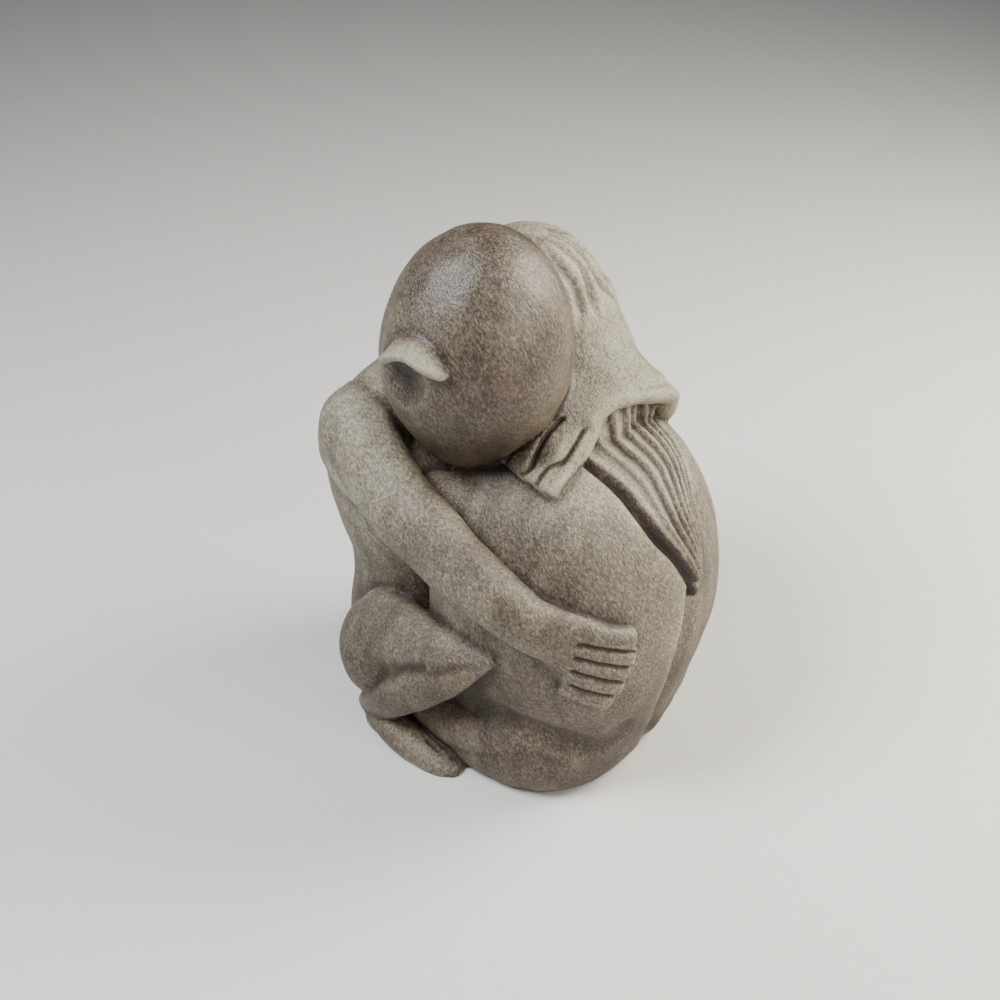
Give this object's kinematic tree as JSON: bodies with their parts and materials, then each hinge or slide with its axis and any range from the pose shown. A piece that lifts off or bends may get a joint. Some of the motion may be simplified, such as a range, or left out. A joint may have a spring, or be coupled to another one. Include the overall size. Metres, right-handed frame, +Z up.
{
  "type": "carved wooden sculpture of two embracing figures",
  "caption": "Small wooden sculpture of a seated couple in a close embrace, cut from one block of weathered grey-brown wood.",
  "frame": {"origin": "centre of the bounding box in plan, on the flat underside", "axes": "+Z up; the bald figure faces +X and the long-haired figure faces -X; -Y is the side with the ear and the folded leg that the picture shows"},
  "size_m": [0.1444, 0.1256, 0.2],
  "materials": {
    "carved_wood": "hand-carved and lightly rubbed wood, weathered grey-brown, darker in the recesses"
  },
  "bodies": {
    "root": {"hug_sculpture": "carved_wood"}
  },
  "joints": []
}
